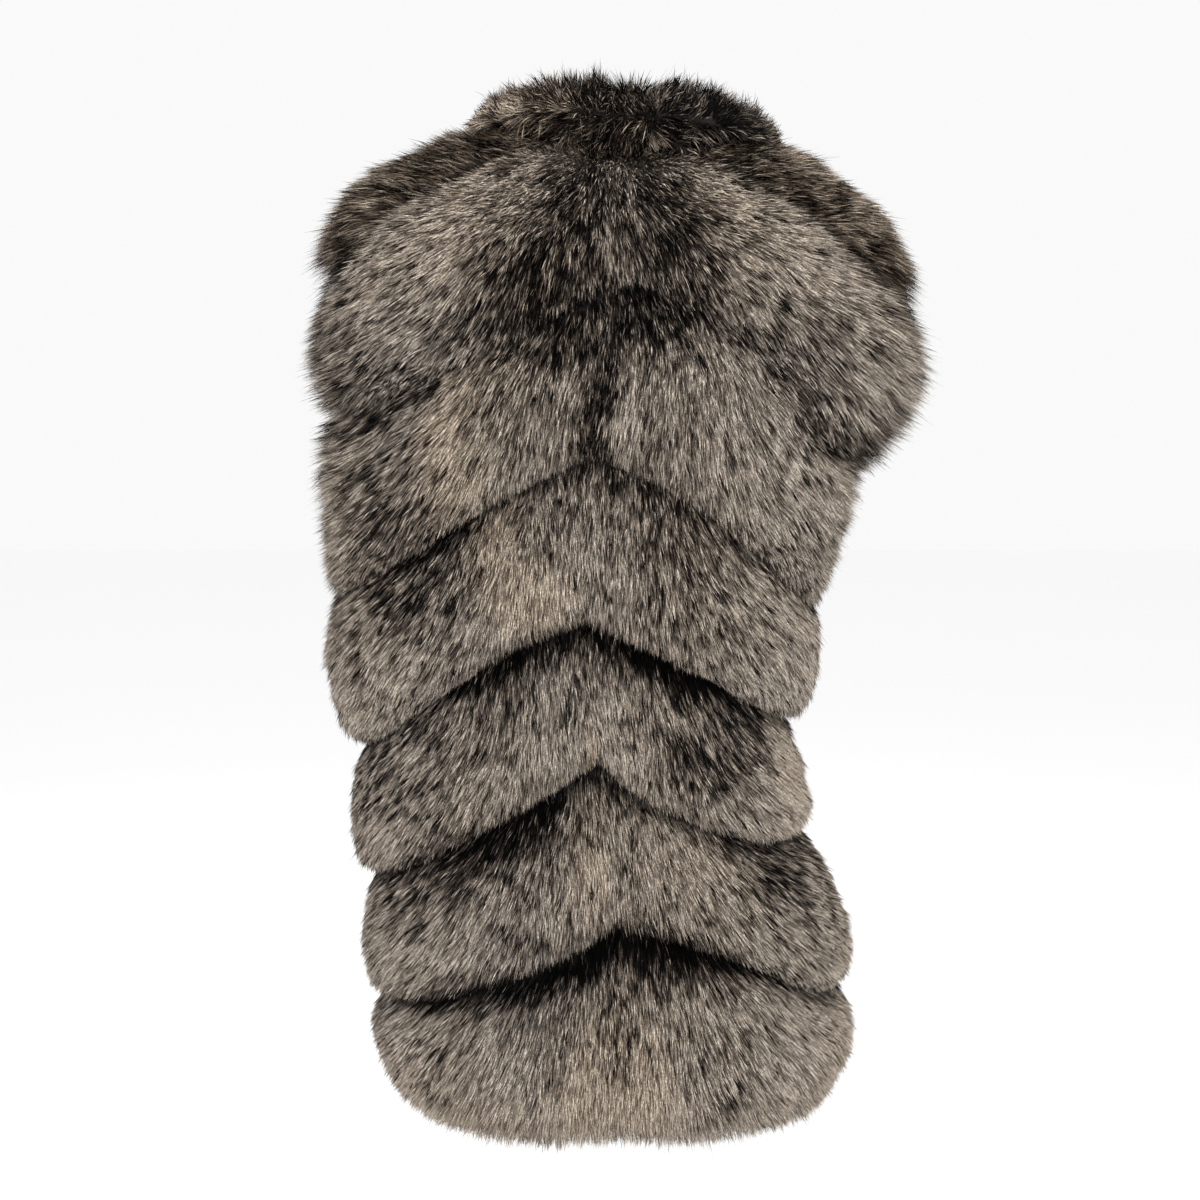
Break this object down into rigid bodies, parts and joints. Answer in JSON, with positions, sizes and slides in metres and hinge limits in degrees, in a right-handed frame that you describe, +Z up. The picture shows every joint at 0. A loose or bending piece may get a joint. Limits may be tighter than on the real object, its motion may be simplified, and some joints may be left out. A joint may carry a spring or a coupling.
{
  "type": "fox fur vest",
  "caption": "Sleeveless thigh-length fox fur vest of chevron fur strips with a standing collar, open down the front, held in its worn shape.",
  "frame": {"origin": "midway between the shoulders, at their height, where the wearer's shoulders carry the vest", "axes": "+Z up, the wearer faces -Y and the back is at +Y, +X to the wearer's left"},
  "size_m": [0.5356, 0.3501, 0.8932],
  "materials": {
    "strip_fur": "long fox fur, pale grey-beige with near-black roots and tips",
    "dark_fur": "long fox fur, dark brown to near black"
  },
  "bodies": {
    "root": {"back_strip_1_left": "strip_fur", "back_strip_1_right": "strip_fur", "back_strip_2_left": "strip_fur", "back_strip_2_right": "strip_fur", "back_strip_3_left": "strip_fur", "back_strip_3_right": "strip_fur", "back_strip_4_left": "strip_fur", "back_strip_4_right": "strip_fur", "back_strip_5_left": "strip_fur", "back_strip_5_right": "strip_fur", "back_strip_6_left": "strip_fur", "back_strip_6_right": "strip_fur", "front_strip_1_left": "strip_fur", "front_strip_1_right": "strip_fur", "front_strip_2_left": "strip_fur", "front_strip_2_right": "strip_fur", "front_strip_3_left": "strip_fur", "front_strip_3_right": "strip_fur", "front_strip_4_left": "strip_fur", "front_strip_4_right": "strip_fur", "front_strip_5_left": "strip_fur", "front_strip_5_right": "strip_fur", "front_strip_6_left": "strip_fur", "front_strip_6_right": "strip_fur", "yoke_left": "dark_fur", "yoke_right": "dark_fur", "collar_left": "dark_fur", "collar_right": "dark_fur"}
  },
  "joints": []
}
